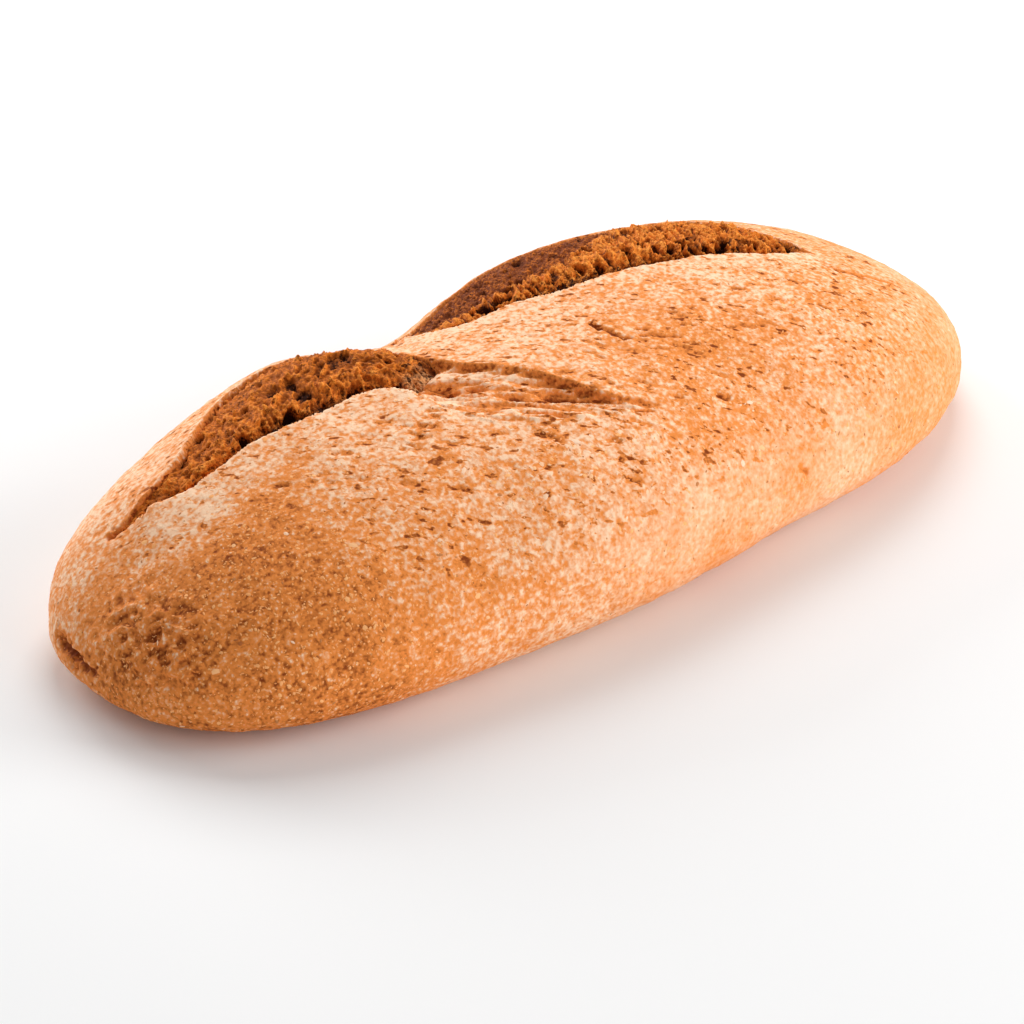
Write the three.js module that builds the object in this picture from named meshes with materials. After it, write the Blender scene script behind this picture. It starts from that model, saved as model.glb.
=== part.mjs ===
// A wholemeal batard: one long hand-shaped loaf with blunt round ends and a flat base, scored
// with two long slanting slashes that tore open in the oven.
//
// Millimetres, +Z up. The origin is on the table under the middle of the loaf's box. +X runs
// along the loaf to its far end, and -Y is the front, where the slashes' sharp lips face.
//
// The crust is a form worked out from a few sizes. Each slash is laid out on it by its two tips
// and its two edges: a raised sharp lip in front, a groove behind the lip, and torn crumb that
// climbs out of the groove in ribs and rounds over to a low lip at the back. Past the middle of
// the near slash, lip and groove die away, and its crumb lies a little below the crust.

import * as THREE from "three";
import { ImprovedNoise } from "three/addons/math/ImprovedNoise.js";
import { mergeVertices } from "three/addons/utils/BufferGeometryUtils.js";

// ---- driving dimensions -------------------------------------------------------------------

const LENGTH = 280;
const WIDTH = 124;
const CRUST_HEIGHT = 52; // the top of the crust, without what the slashes push up
const WIDEST_HEIGHT = 18; // the height at which the loaf is widest
const NOSE_DROP = 0.55; // how far that height has come down at the two ends, as a share
const END_BLUNTNESS = 3; // 2 is an ellipse in plan; more gives blunter ends and straighter sides
const END_ROUNDING = 2.3; // more keeps width and height up to closer to the ends
const BACK_BLUNTNESS = 2.5; // the same for the line of the loaf's back, seen from the side
const SHOULDER = 2.3; // 2 is an elliptical section; more gives fuller shoulders
const UNDERSIDE = 3; // how square the section is where it turns under
const BASE_CUT = 1.15; // how far the section would reach below the table if the base weren't flat
const BASE_END = 8; // how close to the two ends the flat base comes: more is closer
const BOW = 5; // how far both ends swing to the back
const TAPER = 0.02; // how much wider the far half is

// Each slash goes from one tip to the other, seen from above. Its two edges are given by how far
// they lie behind the straight line between the tips, at every eighth of its length.
const SLASHES = [
  {
    tips: [new THREE.Vector2(-117, 22), new THREE.Vector2(10, -40)],
    frontEdge: [-1, -4, 3.5, 7.5, 11, -6, -10, -8.5, -4],
    backEdge: [-1, 9, 32, 42, 38, 21, 10, -2.5, -4],
    lipRise: 1.8,
    groove: 5.5, // how deep the crumb lies behind the front lip
    crest: 4.5, // how high the torn crumb stands
    crestGrows: [0.2, 0.45], // the shares of the length between which the crest comes up
    fades: [0.52, 0.68], // and those between which lip, groove and crest die away
  },
  {
    tips: [new THREE.Vector2(-26, 27), new THREE.Vector2(93, -7.5)],
    frontEdge: [0, -6.5, -5, -5.8, -3.2, -2.6, -2.3, -4.4, -0.5],
    backEdge: [0, 14, 24, 30, 32, 32.5, 31, 22, -0.5],
    lipRise: 1.5,
    groove: 4.5,
    crest: 2.8,
    crestGrows: [0, 0.2],
    fades: [0.85, 1.1],
  },
];
const LIP_REACH = 16; // how far in front of the lip the crust begins to rise
const LIP_DROP = 2.5; // the width of the drop from the lip into the groove
const BACK_LIP_RISE = 1.5;
const BACK_LIP_STEP = 1.2; // how far the torn crumb lies below the back lip
const BACK_LIP_REACH = 12;
const CREST_PLACE = 0.68; // where the torn crumb is highest, as a share of the opening
const GROOVE_PLACE = -0.1; // where it would be lowest, just under the front lip
const CRUMB_SINK = 1.6; // how far the crumb lies below the crust where it has no crest
const FULL_OPENING = 12; // an opening of this width has its full depth
const SLASH_FADE = 8; // slashes fade out over this height above the widest line

// Torn crumb: ribs across the opening, and coarser crags.
const RIB_SPACING = 6;
const RIB_LENGTH = 16;
const RIB_HEIGHT = 1.5;
const RIB_LAYER = 0.5; // which draw of the noise the ribs take
const CRAG_SPACING = 11;
const CRAG_HEIGHT = 1.6;
const CRAG_LAYER = 7.5;
const NOISE_ORIGIN = 40; // keeps every point of the loaf on the noise's positive side

// The crust's own unevenness: soft swellings and hollows, each at a place of the plan. The deepest
// is the waist at the back, where the bridge of whole crust between the slashes held the loaf in.
const SWELLINGS = [
  { x: -10, y: 45, reach: 28, rise: -8 },
  { x: 28, y: -48, reach: 26, rise: -2.2 },
  { x: -65, y: -56, reach: 30, rise: -3 },
  { x: -132, y: -24, reach: 24, rise: 2 },
  { x: -94, y: 46, reach: 20, rise: -1 },
  { x: -48, y: 41, reach: 14, rise: 1.4 },
];

// A short seam that burst at the near end, low down.
const SEAM = {
  from: new THREE.Vector3(-138, 19, 12),
  to: new THREE.Vector3(-139, 5, 8),
  reach: 2.6,
  depth: 1.5,
};

// How long the edges of the faces are at most.
const EDGE_IN_SLASH = 3.5;
const EDGE_ON_CRUST = 9.5;
const EDGE_LOW_DOWN = 7; // where the crust turns under
const EDGE_AT_SEAM = 3;
const EDGE_ON_BASE = 20;
const EDGE_GROWTH = 0.6; // how much longer for each millimetre away from a slash or the seam
const EDGE_MARGIN = 2; // how far round a slash's opening the short edges reach

// ---- small helpers ------------------------------------------------------------------------

const { smoothstep, lerp, clamp } = THREE.MathUtils;
const noise = new ImprovedNoise();

// Noise from -1 to 1 at a point whose two lengths are divided by their own spacings.
function unevenness(x, y, spacingX, spacingY, layer) {
  return noise.noise(x / spacingX + NOISE_ORIGIN, y / spacingY + NOISE_ORIGIN, layer);
}

// ---- the uncut crust ----------------------------------------------------------------------

// The crust's point in a direction from the loaf's middle. The direction is on a unit sphere.
function crustPoint(direction) {
  const along = clamp(direction.x, -1, 1);
  const turn = Math.atan2(direction.z, direction.y);
  const across = Math.cos(turn);
  const up = Math.sin(turn);
  const toEnd = Math.abs(along);
  const halfWidth = (WIDTH / 2) * Math.pow(1 - Math.pow(toEnd, END_BLUNTNESS), 1 / END_ROUNDING);
  const widest = WIDEST_HEIGHT * (1 - NOSE_DROP * Math.pow(toEnd, 3));
  const domeShare = Math.pow(1 - Math.pow(toEnd, BACK_BLUNTNESS), 1 / END_ROUNDING);
  const dome = (CRUST_HEIGHT - WIDEST_HEIGHT) * domeShare;
  const power = up >= 0 ? SHOULDER : UNDERSIDE;
  const reach = Math.pow(Math.pow(Math.abs(across), power) + Math.pow(Math.abs(up), power), -1 / power);
  const turnUnder = BASE_CUT * Math.sqrt(1 - Math.pow(toEnd, BASE_END));
  const y = halfWidth * reach * across * (1 + TAPER * along) + BOW * (along * along - 0.4);
  const z = up >= 0 ? widest + dome * reach * up : Math.max(0, widest * (1 + turnUnder * reach * up));
  return new THREE.Vector3((LENGTH / 2) * along, y, z);
}

// The crust's outward normal, from its points in two directions close by.
function crustNormal(direction) {
  const step = 0.004;
  const nearEnd = Math.abs(direction.x) > 0.9;
  const helper = new THREE.Vector3(nearEnd ? 0 : 1, nearEnd ? 1 : 0, 0);
  const first = new THREE.Vector3().crossVectors(helper, direction).normalize();
  const second = new THREE.Vector3().crossVectors(direction, first);
  const tangents = [first, second].map((side) => {
    const ahead = crustPoint(direction.clone().addScaledVector(side, step).normalize());
    const behind = crustPoint(direction.clone().addScaledVector(side, -step).normalize());
    return ahead.sub(behind);
  });
  return new THREE.Vector3().crossVectors(tangents[0], tangents[1]).normalize();
}

// ---- the slashes --------------------------------------------------------------------------

// A smooth curve's height at a share of its length, from its heights at equal steps.
function curveThrough(heights, share) {
  const last = heights.length - 1;
  const step = Math.min(Math.floor(share * last), last - 1);
  const t = share * last - step;
  const [before, from, to, after] = [-1, 0, 1, 2].map((k) => heights[clamp(step + k, 0, last)]);
  const bend = 2 * before - 5 * from + 4 * to - after;
  const twist = 3 * (from - to) + after - before;
  return from + (t * (to - before + t * (bend + t * twist))) / 2;
}

// Where a point of the plan lies in a slash: its share of the slash's length, its distance behind
// the front edge, and the opening's width there.
function placeInSlash(slash, x, y) {
  const [start, end] = slash.tips;
  const run = end.clone().sub(start);
  const length = run.length();
  run.divideScalar(length);
  const offset = new THREE.Vector2(x, y).sub(start);
  const along = offset.dot(run);
  const share = clamp(along / length, 0, 1);
  const past = Math.abs(along - share * length);
  const frontEdge = curveThrough(slash.frontEdge, share);
  const behindLip = -run.y * offset.x + run.x * offset.y - frontEdge;
  const width = Math.max(0, curveThrough(slash.backEdge, share) - frontEdge);
  return { along, share, past, behindLip, width };
}

// How far out of the crust the surface stands at a place in a slash.
function slashRelief(slash, x, y) {
  const { along, share, past, behindLip, width } = placeInSlash(slash, x, y);
  const depth = smoothstep(width, 0, FULL_OPENING);
  const fade = Math.exp(-past / LIP_REACH);
  const torn = 1 - smoothstep(share, ...slash.fades);
  const lipRise = slash.lipRise * torn * depth;
  const backRise = BACK_LIP_RISE * depth;
  if (behindLip <= 0) return lipRise * Math.exp(behindLip / LIP_REACH) * fade;
  if (behindLip >= width) return backRise * Math.exp((width - behindLip) / BACK_LIP_REACH) * fade;
  const across = behindLip / width;
  const crest = slash.crest * torn * smoothstep(share, ...slash.crestGrows) - CRUMB_SINK * (1 - torn);
  const climb = smoothstep(across, GROOVE_PLACE, CREST_PLACE);
  const fall = smoothstep(across, CREST_PLACE, 1);
  const groove = lerp(-CRUMB_SINK, -slash.groove, torn);
  const slope = lerp(lerp(groove, crest, climb), BACK_LIP_RISE - BACK_LIP_STEP, fall);
  const ribs = RIB_HEIGHT * unevenness(along, behindLip, RIB_SPACING, RIB_LENGTH, RIB_LAYER);
  const crags = CRAG_HEIGHT * unevenness(along, behindLip, CRAG_SPACING, CRAG_SPACING, CRAG_LAYER);
  const crumb = (slope + ribs + crags) * depth;
  const fromFront = smoothstep(behindLip, 0, LIP_DROP);
  const fromBack = smoothstep(width - behindLip, 0, LIP_DROP);
  return lerp(lipRise, lerp(backRise, crumb, fromBack), fromFront);
}

// The distance in plan from a slash's opening and its margin, 0 inside them.
function awayFromSlash(slash, x, y) {
  const { past, behindLip, width } = placeInSlash(slash, x, y);
  return past + Math.max(0, -behindLip - EDGE_MARGIN, behindLip - width - EDGE_MARGIN);
}

// ---- the whole surface --------------------------------------------------------------------

// The distance of a point from the burst seam.
function awayFromSeam(point) {
  const line = new THREE.Line3(SEAM.from, SEAM.to);
  return line.closestPointToPoint(point, true, new THREE.Vector3()).distanceTo(point);
}

// How far the surface stands out of the smooth crust at a point of it.
function relief(point) {
  const { x, y, z } = point;
  const offTheTable = smoothstep(z, 0, WIDEST_HEIGHT / 2);
  const swell = SWELLINGS.reduce((sum, place) => {
    const away = Math.hypot(x - place.x, y - place.y) / place.reach;
    return sum + place.rise * Math.exp(-away * away);
  }, 0);
  const onTop = smoothstep(z, WIDEST_HEIGHT, WIDEST_HEIGHT + SLASH_FADE);
  const slashes = SLASHES.reduce((sum, slash) => sum + slashRelief(slash, x, y), 0) * onTop;
  const fromSeam = awayFromSeam(point) / SEAM.reach;
  const seam = -SEAM.depth * Math.exp(-fromSeam * fromSeam);
  return swell * offTheTable + slashes + seam;
}

// The loaf's point in a direction. The flat base stays where it is.
function loafPoint(direction) {
  const point = crustPoint(direction);
  if (point.z <= 0) return point;
  point.addScaledVector(crustNormal(direction), relief(point));
  point.z = Math.max(0, point.z);
  return point;
}

// The longest edge that a face may have at a point.
function edgeLimit(point) {
  if (point.z <= 0) return EDGE_ON_BASE;
  const onTop = point.z > WIDEST_HEIGHT;
  const away = SLASHES.map((slash) => (onTop ? awayFromSlash(slash, point.x, point.y) : Infinity));
  const nearSlash = EDGE_IN_SLASH + EDGE_GROWTH * Math.min(...away);
  const nearSeam = EDGE_AT_SEAM + EDGE_GROWTH * Math.max(0, awayFromSeam(point) - 2 * SEAM.reach);
  const onCrust = point.z < WIDEST_HEIGHT / 2 ? EDGE_LOW_DOWN : EDGE_ON_CRUST;
  return Math.min(nearSlash, nearSeam, onCrust);
}

// ---- faces --------------------------------------------------------------------------------

// Splits a face at the middles that its edges were given, and leaves the rest of it whole.
function splitFace([a, b, c], middleOf) {
  for (const [p, q, r] of [[a, b, c], [b, c, a], [c, a, b]]) {
    const middle = middleOf(p, q);
    if (middle === undefined) continue;
    return [[p, middle, r], [middle, q, r]].flatMap((face) => splitFace(face, middleOf));
  }
  return [[a, b, c]];
}

// Starts from a ball and splits each face's longest edge until no edge is over its limit on the
// uncut crust. Then each corner goes to its place on the loaf.
function loafGeometry() {
  const ball = new THREE.IcosahedronGeometry(1, 2);
  ball.deleteAttribute("normal");
  ball.deleteAttribute("uv");
  const merged = mergeVertices(ball, 1e-4);
  const at = merged.getAttribute("position");
  const corner = (_, i) => new THREE.Vector3().fromBufferAttribute(at, i);
  const directions = Array.from({ length: at.count }, corner);
  const points = directions.map(crustPoint);
  const index = merged.getIndex().array;
  let faces = Array.from({ length: index.length / 3 }, (_, i) => [...index.slice(3 * i, 3 * i + 3)]);

  const edgeName = (a, b) => Math.min(a, b) + "-" + Math.max(a, b);
  for (let middles = null; middles === null || middles.size > 0; ) {
    middles = new Map();
    for (const [a, b, c] of faces) {
      const edges = [[a, b], [b, c], [c, a]];
      const lengths = edges.map(([p, q]) => points[p].distanceTo(points[q]));
      const [p, q] = edges[lengths.indexOf(Math.max(...lengths))];
      const limit = edgeLimit(points[p].clone().lerp(points[q], 0.5));
      if (Math.max(...lengths) <= limit || middles.has(edgeName(p, q))) continue;
      const direction = directions[p].clone().add(directions[q]).normalize();
      middles.set(edgeName(p, q), directions.length);
      directions.push(direction);
      points.push(crustPoint(direction));
    }
    const middleOf = (a, b) => middles.get(edgeName(a, b));
    faces = faces.flatMap((face) => splitFace(face, middleOf));
  }

  const geometry = new THREE.BufferGeometry().setFromPoints(directions.map(loafPoint));
  geometry.setIndex(faces.flat());
  geometry.computeBoundingBox();
  const middle = geometry.boundingBox.getCenter(new THREE.Vector3());
  geometry.translate(-middle.x, -middle.y, -geometry.boundingBox.min.z);
  geometry.computeVertexNormals();
  return geometry;
}

// ---- the part -----------------------------------------------------------------------------

const crust = new THREE.MeshStandardMaterial({ color: 0xc98650, roughness: 0.85, metalness: 0 });
const loaf = new THREE.Mesh(loafGeometry(), crust);
loaf.name = "loaf";

const batard = new THREE.Group();
batard.add(loaf);

export default batard;
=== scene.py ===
"""A wholemeal batard: its crust, the torn crumb in its two slashes, its bran and its flour.

Metres, +Z up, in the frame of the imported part: the loaf stands on the table at z = 0, +X runs to
its far end, and -Y is the front, where the slashes' sharp lips face. The crust is worked out from
the same sizes as the part's source, so that every piece lies on it.
"""

import math
from collections import namedtuple
from dataclasses import dataclass

import bmesh
import bpy
import numpy as np
from mathutils import Matrix, Vector, noise


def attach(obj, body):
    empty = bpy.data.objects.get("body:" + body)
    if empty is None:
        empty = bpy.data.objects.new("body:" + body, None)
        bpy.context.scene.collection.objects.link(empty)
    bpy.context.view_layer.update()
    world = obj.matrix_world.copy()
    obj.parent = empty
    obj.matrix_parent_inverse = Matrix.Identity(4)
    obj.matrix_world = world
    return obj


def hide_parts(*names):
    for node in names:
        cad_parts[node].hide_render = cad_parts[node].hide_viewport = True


bl_info = {
    "name": "Wholemeal Batard",
    "version": (1, 0, 0),
    "blender": (4, 5, 0),
    "location": "View3D > Sidebar > Batard",
    "description": "Builds a slashed wholemeal loaf with torn crumb, bran and flour",
    "category": "Add Mesh",
}

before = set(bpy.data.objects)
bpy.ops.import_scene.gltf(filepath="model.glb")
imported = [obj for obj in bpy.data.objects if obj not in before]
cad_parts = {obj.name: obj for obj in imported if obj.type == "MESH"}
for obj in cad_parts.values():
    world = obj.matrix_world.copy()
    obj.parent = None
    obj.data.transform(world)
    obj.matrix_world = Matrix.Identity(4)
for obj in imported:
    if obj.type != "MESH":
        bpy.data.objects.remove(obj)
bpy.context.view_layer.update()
MM = 0.001
BODY = "root"

# ---- the form of the crust ------------------------------------------------------------------

NOSE_DROP = 0.55  # how far the widest height has come down at the two ends, as a share
NOSE_POWER = 3  # how late towards the ends it comes down
END_BLUNTNESS = 3.0
END_ROUNDING = 2.3
BACK_BLUNTNESS = 2.5
SHOULDER = 2.3
UNDERSIDE = 3.0
BASE_CUT = 1.15
BASE_END = 8
TAPER = 0.02
BOW_LEVEL = 0.4  # the bow is 0 where the square of the place along the loaf, from -1 to 1, is this
BOX_STEPS = 241
NORMAL_STEP = 0.004  # how far apart two directions are that give a slope
SLOPE_STEP = 0.2 * MM
ALMOST_EDGE = 0.999  # how near its edge the crust's upper side is worked out, as a share
SWELLINGS_FADE = 9 * MM  # swellings fade out below this height

# Soft swellings and hollows of the whole crust: place in the plan, reach and rise. Millimetres.
SWELLINGS = [
    ((-10, 45), 28, -8),
    ((28, -48), 26, -2.2),
    ((-65, -56), 30, -3),
    ((-132, -24), 24, 2),
    ((-94, 46), 20, -1),
    ((-48, 41), 14, 1.4),
]

# ---- the slashes ----------------------------------------------------------------------------

LIP_REACH = 16 * MM  # how far in front of a front lip the crust begins to rise
BACK_LIP_RISE = 1.5 * MM
BACK_LIP_REACH = 12 * MM
FULL_OPENING = 7 * MM  # an opening of this width has its full depth
TRENCH = 9.5 * MM  # how deep the crust is opened under the torn crumb
SLASH_FROM = 18 * MM  # slashes and what goes with them lie above this height
SLASH_FADE = 8 * MM  # and fade in over this one
SCARP_PLACE = 0.8 * MM  # the step at a flush part's back lies so far in front of the back edge
SCARP_REACH = 1.3 * MM
LEDGE_MOVES = (0.4, 0.7)  # a slash's ledge moves back between these shares of its length

Place = namedtuple("Place", "along share past behind width across torn depth")


def smooth(value, low, high):
    """0 below low, 1 above high, and a soft step between them."""
    share = np.clip((value - low) / (high - low), 0, 1)
    return share * share * (3 - 2 * share)


def blend(low, high, share):
    """low where share is 0, high where it is 1."""
    return low + (high - low) * share


def band(value, rise, fall):
    """1 between two soft steps, where it rises from 0 and falls to 0 again."""
    return smooth(value, *rise) * smooth(-value, -fall[1], -fall[0])


def share_across(behind, width):
    """How far across a slash places are, from 0 at its front edge to 1 at its back edge."""
    return np.clip(behind / np.maximum(width, 1e-6), 0, 1)


def curve_through(heights, share):
    """The height of a smooth curve at shares of its length, from its heights at equal steps."""
    heights = np.asarray(heights, float)
    last = len(heights) - 1
    step = np.minimum(np.floor(share * last), last - 1).astype(int)
    t = share * last - step
    before, start, end, after = (heights[np.clip(step + k, 0, last)] for k in (-1, 0, 1, 2))
    bend = 2 * before - 5 * start + 4 * end - after
    twist = 3 * (start - end) + after - before
    return start + t * (end - before + t * (bend + t * twist)) / 2


@dataclass
class Slash:
    """One opening in the crust, laid out in the plan from its near tip to its far tip. Tips and
    edges are in millimetres, the edges as ways back from the line between the tips, in equal steps
    along it. Pairs of shares say where along the slash something begins and ends to change."""

    name: str
    tips: list
    front_edge: list
    back_edge: list
    lip_rise: float
    groove: float  # how deep the torn crumb lies behind the front lip
    crest: float  # how high it stands farther back
    crest_grows: tuple
    fades: tuple  # where the torn part becomes flush with the crust
    pockets: float  # how large the crumb's pockets are, where 1 is as set
    ribs: float  # how much the torn wall is ribbed
    ledge: tuple  # where across the slash the wall ends and the top begins, near and far
    toast: float  # how much that top browned
    crumb_end: float = 1.0  # where the torn crumb dives under the crust
    back_lags: float = 0.0  # how much farther the back stays torn than the front
    lip_fades: tuple = (0.85, 1.1)

    def __post_init__(self):
        self.start, end = (np.array(tip) * MM for tip in self.tips)
        self.length = float(np.hypot(*(end - self.start)))
        self.run = (end - self.start) / self.length
        self.back = np.array([-self.run[1], self.run[0]])
        self.front_edge, self.back_edge = np.array([self.front_edge, self.back_edge]) * MM

    def edges(self, share):
        """How far back the front edge lies at shares of the length, and the width there."""
        front = curve_through(self.front_edge, share)
        return front, np.maximum(0, curve_through(self.back_edge, share) - front)

    def place(self, plan):
        """Where points of the plan lie in the slash."""
        offset = plan - self.start
        along = offset @ self.run
        share = np.clip(along / self.length, 0, 1)
        past = np.maximum(0, np.maximum(-along, along - self.length))
        front, width = self.edges(share)
        return self.describe(along, share, past, offset @ self.back - front, width)

    def describe(self, along, share, past, behind, width):
        across = share_across(behind, width)
        torn = 1 - smooth(share - self.back_lags * across, *self.fades)
        torn = np.where(behind < 0, 1 - smooth(share, *self.lip_fades), torn)
        return Place(along, share, past, behind, width, across, torn, smooth(width, 0, FULL_OPENING))

    def plan_at(self, share, back):
        """The plan's point at a share of the length and a way back from the line between the tips."""
        return self.start + np.outer(share * self.length, self.run) + np.outer(back, self.back)

    def scarp(self, plan):
        """How near points are to the low step at the back of the part that isn't torn deeply."""
        place = self.place(plan)
        away = (place.width - place.behind - SCARP_PLACE) / SCARP_REACH
        return np.exp(-(away**2)) * (1 - place.torn) * place.depth * (place.past == 0)

    def ledge_at(self, share):
        """Where the torn wall ends and the toasted top begins, as a share of the width."""
        return blend(*self.ledge, smooth(share, *LEDGE_MOVES))


SLASHES = [
    Slash(
        "near",
        tips=[(-117, 22), (10, -40)],
        front_edge=[-1, -4, 3.5, 7.5, 11, -6, -10, -8.5, -4],
        back_edge=[-1, 11, 35, 43, 38, 21, 10, -2.5, -4],
        lip_rise=1.8 * MM,
        groove=5.5 * MM,
        crest=3.4 * MM,
        crest_grows=(0.2, 0.45),
        fades=(0.45, 0.57),
        pockets=1,
        ribs=0.6,
        ledge=(0.45, 0.45),
        toast=0.22,
        crumb_end=0.8,
        back_lags=0.08,
        lip_fades=(0.52, 0.62),
    ),
    Slash(
        "far",
        tips=[(-26, 27), (96, -8.5)],
        front_edge=[0, -6.5, -5, -5.8, -3.2, -2.6, -2.3, -4.4, -0.5],
        back_edge=[0, 22, 31, 35, 35, 34, 31, 22, -0.5],
        lip_rise=1.5 * MM,
        groove=4.5 * MM,
        crest=1.6 * MM,
        crest_grows=(0, 0.2),
        fades=(0.85, 1.1),
        pockets=0.6,
        ribs=2.2,
        ledge=(0.42, 0.85),
        toast=1.3,
    ),
]


class Crust:
    """The uncut crust, worked out from its sizes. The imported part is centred, so this one is too."""

    def __init__(self, sizes):
        self.half_length = sizes.length / 2
        self.half_width = sizes.width / 2
        self.widest = sizes.widest_height
        self.dome = sizes.crust_height - sizes.widest_height
        self.bow = sizes.bow
        self.middle = self.box_middle()

    def box_middle(self):
        """The middle of the swollen crust's box in plan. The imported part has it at 0."""
        steps = np.linspace(-1, 1, BOX_STEPS), np.linspace(0, 2 * math.pi, BOX_STEPS)
        along, turn = np.meshgrid(*steps)
        level = np.sqrt(1 - along**2)
        ball = np.stack([along, level * np.cos(turn), level * np.sin(turn)], -1).reshape(-1, 3)
        points = self.points(ball)
        points += self.normals(ball) * swell(points)[:, None]
        return (points.min(0) + points.max(0)) / 2 * (1, 1, 0)

    def section(self, along):
        """Half width, widest height, dome and sideways swing at places from -1 to 1 along the loaf."""
        to_end = np.minimum(np.abs(along), 1)
        half_width = self.half_width * (1 - to_end**END_BLUNTNESS) ** (1 / END_ROUNDING)
        widest = self.widest * (1 - NOSE_DROP * to_end**NOSE_POWER)
        dome = self.dome * (1 - to_end**BACK_BLUNTNESS) ** (1 / END_ROUNDING)
        return half_width * (1 + TAPER * along), widest, dome, self.bow * (along**2 - BOW_LEVEL)

    def points(self, directions):
        """The crust's points in directions from the loaf's middle, given on a unit ball."""
        along = np.clip(directions[:, 0], -1, 1)
        half_width, widest, dome, swing = self.section(along)
        turn = np.arctan2(directions[:, 2], directions[:, 1])
        across, up = np.cos(turn), np.sin(turn)
        power = np.where(up >= 0, SHOULDER, UNDERSIDE)
        reach = (np.abs(across) ** power + np.abs(up) ** power) ** (-1 / power)
        under = BASE_CUT * np.sqrt(1 - np.minimum(np.abs(along), 1) ** BASE_END)
        height = np.where(
            up >= 0,
            widest + dome * reach * up,
            np.maximum(0, widest * (1 + under * reach * up)),
        )
        return np.stack([self.half_length * along, half_width * reach * across + swing, height], 1)

    def normals(self, directions):
        """The crust's outward normals there, from its points close by."""
        near_end = np.abs(directions[:, 0]) > 0.9
        helper = np.where(near_end[:, None], (0.0, 1.0, 0.0), (1.0, 0.0, 0.0))
        first = unit(np.cross(helper, directions))
        steps = first * NORMAL_STEP, np.cross(directions, first) * NORMAL_STEP
        tangents = [
            self.points(unit(directions + step)) - self.points(unit(directions - step))
            for step in steps
        ]
        return unit(np.cross(*tangents))

    def crown(self, plan):
        """The height of the crust's upper side over points of the plan."""
        along = np.clip(plan[:, 0] / self.half_length, -ALMOST_EDGE, ALMOST_EDGE)
        half_width, widest, dome, swing = self.section(along)
        across = np.minimum(np.abs((plan[:, 1] - swing) / half_width), ALMOST_EDGE)
        return widest + dome * (1 - across**SHOULDER) ** (1 / SHOULDER)

    def crown_normals(self, plan):
        slopes = [
            (self.crown(plan + side) - self.crown(plan - side)) / (2 * SLOPE_STEP)
            for side in (np.array([SLOPE_STEP, 0]), np.array([0, SLOPE_STEP]))
        ]
        return unit(np.stack([-slopes[0], -slopes[1], np.ones(len(plan))], 1))


def unit(vectors):
    return vectors / np.maximum(np.linalg.norm(vectors, axis=1), 1e-12)[:, None]


def swell(points):
    """How far the soft swellings move the crust out at its points."""
    total = np.zeros(len(points))
    for (x, y), reach, rise in SWELLINGS:
        away = np.hypot(points[:, 0] - x * MM, points[:, 1] - y * MM) / (reach * MM)
        total += rise * MM * np.exp(-away * away)
    return total * smooth(points[:, 2], 0, SWELLINGS_FADE)


# ---- noise ----------------------------------------------------------------------------------

OCTAVES_FALL = 0.8  # the exponent by which finer waves of noise get weaker
OCTAVES_STEP = 2.1  # how many times finer they get
LUCK_STRETCH = 7.3  # spreads seeds far enough apart that each draws a number of its own


def sampled(points, spacing, draw=0.0, octaves=1):
    """Smooth noise from -1 to 1 at points, with waves about as long as spacing."""
    where = points / np.asarray(spacing, float) + draw
    if octaves == 1:
        return np.fromiter((noise.noise(p) for p in where), float, len(where))
    waves = (noise.fractal(p, OCTAVES_FALL, OCTAVES_STEP, octaves) for p in where)
    return np.fromiter(waves, float, len(where))


def cells(points, spacing, draw=0.0):
    """For points among scattered seeds: distance to the nearest seed and to the edge between the
    two nearest, in spacings, and a number from 0 to 1 that is the seed's own."""
    where = points / np.asarray(spacing, float) + draw
    found = np.empty((len(where), 3))
    for i, p in enumerate(where):
        away, seeds = noise.voronoi(p)
        found[i] = away[0], away[1] - away[0], noise.cell(seeds[0] * LUCK_STRETCH)
    return found.T


# ---- mesh helpers ---------------------------------------------------------------------------


def corners_of(bm):
    return np.array([v.co for v in bm.verts]).reshape(-1, 3)


def move_corners(bm, places):
    for corner, place in zip(bm.verts, places):
        corner.co = place


def corner_normals(bm):
    bm.normal_update()
    return np.array([v.normal for v in bm.verts]).reshape(-1, 3)


REFINE_PASSES = 6


def refine(bm, place, limit):
    """Cuts edges in two that are longer than their limit, measured where place puts the corners,
    a few times over. The corners themselves stay on the unit ball."""
    for _ in range(REFINE_PASSES):
        directions = corners_of(bm)
        points = place(directions)
        bm.verts.index_update()
        ends = np.array([[v.index for v in edge.verts] for edge in bm.edges])
        spans = points[ends[:, 0]], points[ends[:, 1]]
        too_long = np.linalg.norm(spans[0] - spans[1], axis=1) > limit((spans[0] + spans[1]) / 2)
        cut = [edge for edge, is_long in zip(bm.edges, too_long) if is_long]
        bmesh.ops.subdivide_edges(bm, edges=cut, cuts=1, use_grid_fill=True)
        bmesh.ops.triangulate(bm, faces=[face for face in bm.faces if len(face.verts) > 3])
        move_corners(bm, unit(corners_of(bm)))


def add_piece(name, mesh, material, **values):
    """Links a finished mesh as a piece of the loaf, with a number for each corner under each name
    given."""
    for value_name, numbers in values.items():
        attribute = mesh.attributes.new(value_name, "FLOAT", "POINT")
        attribute.data.foreach_set("value", np.asarray(numbers, np.float32))
    mesh.materials.append(material)
    old = bpy.data.objects.get(name)
    if old is not None:
        bpy.data.objects.remove(old)
    piece = bpy.data.objects.new(name, mesh)
    bpy.context.scene.collection.objects.link(piece)
    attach(piece, BODY)
    return piece


def mesh_of(name, bm):
    mesh = bpy.data.meshes.new(name)
    bm.to_mesh(mesh)
    bm.free()
    mesh.shade_smooth()
    return mesh


# ---- shader helpers -------------------------------------------------------------------------


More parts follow.
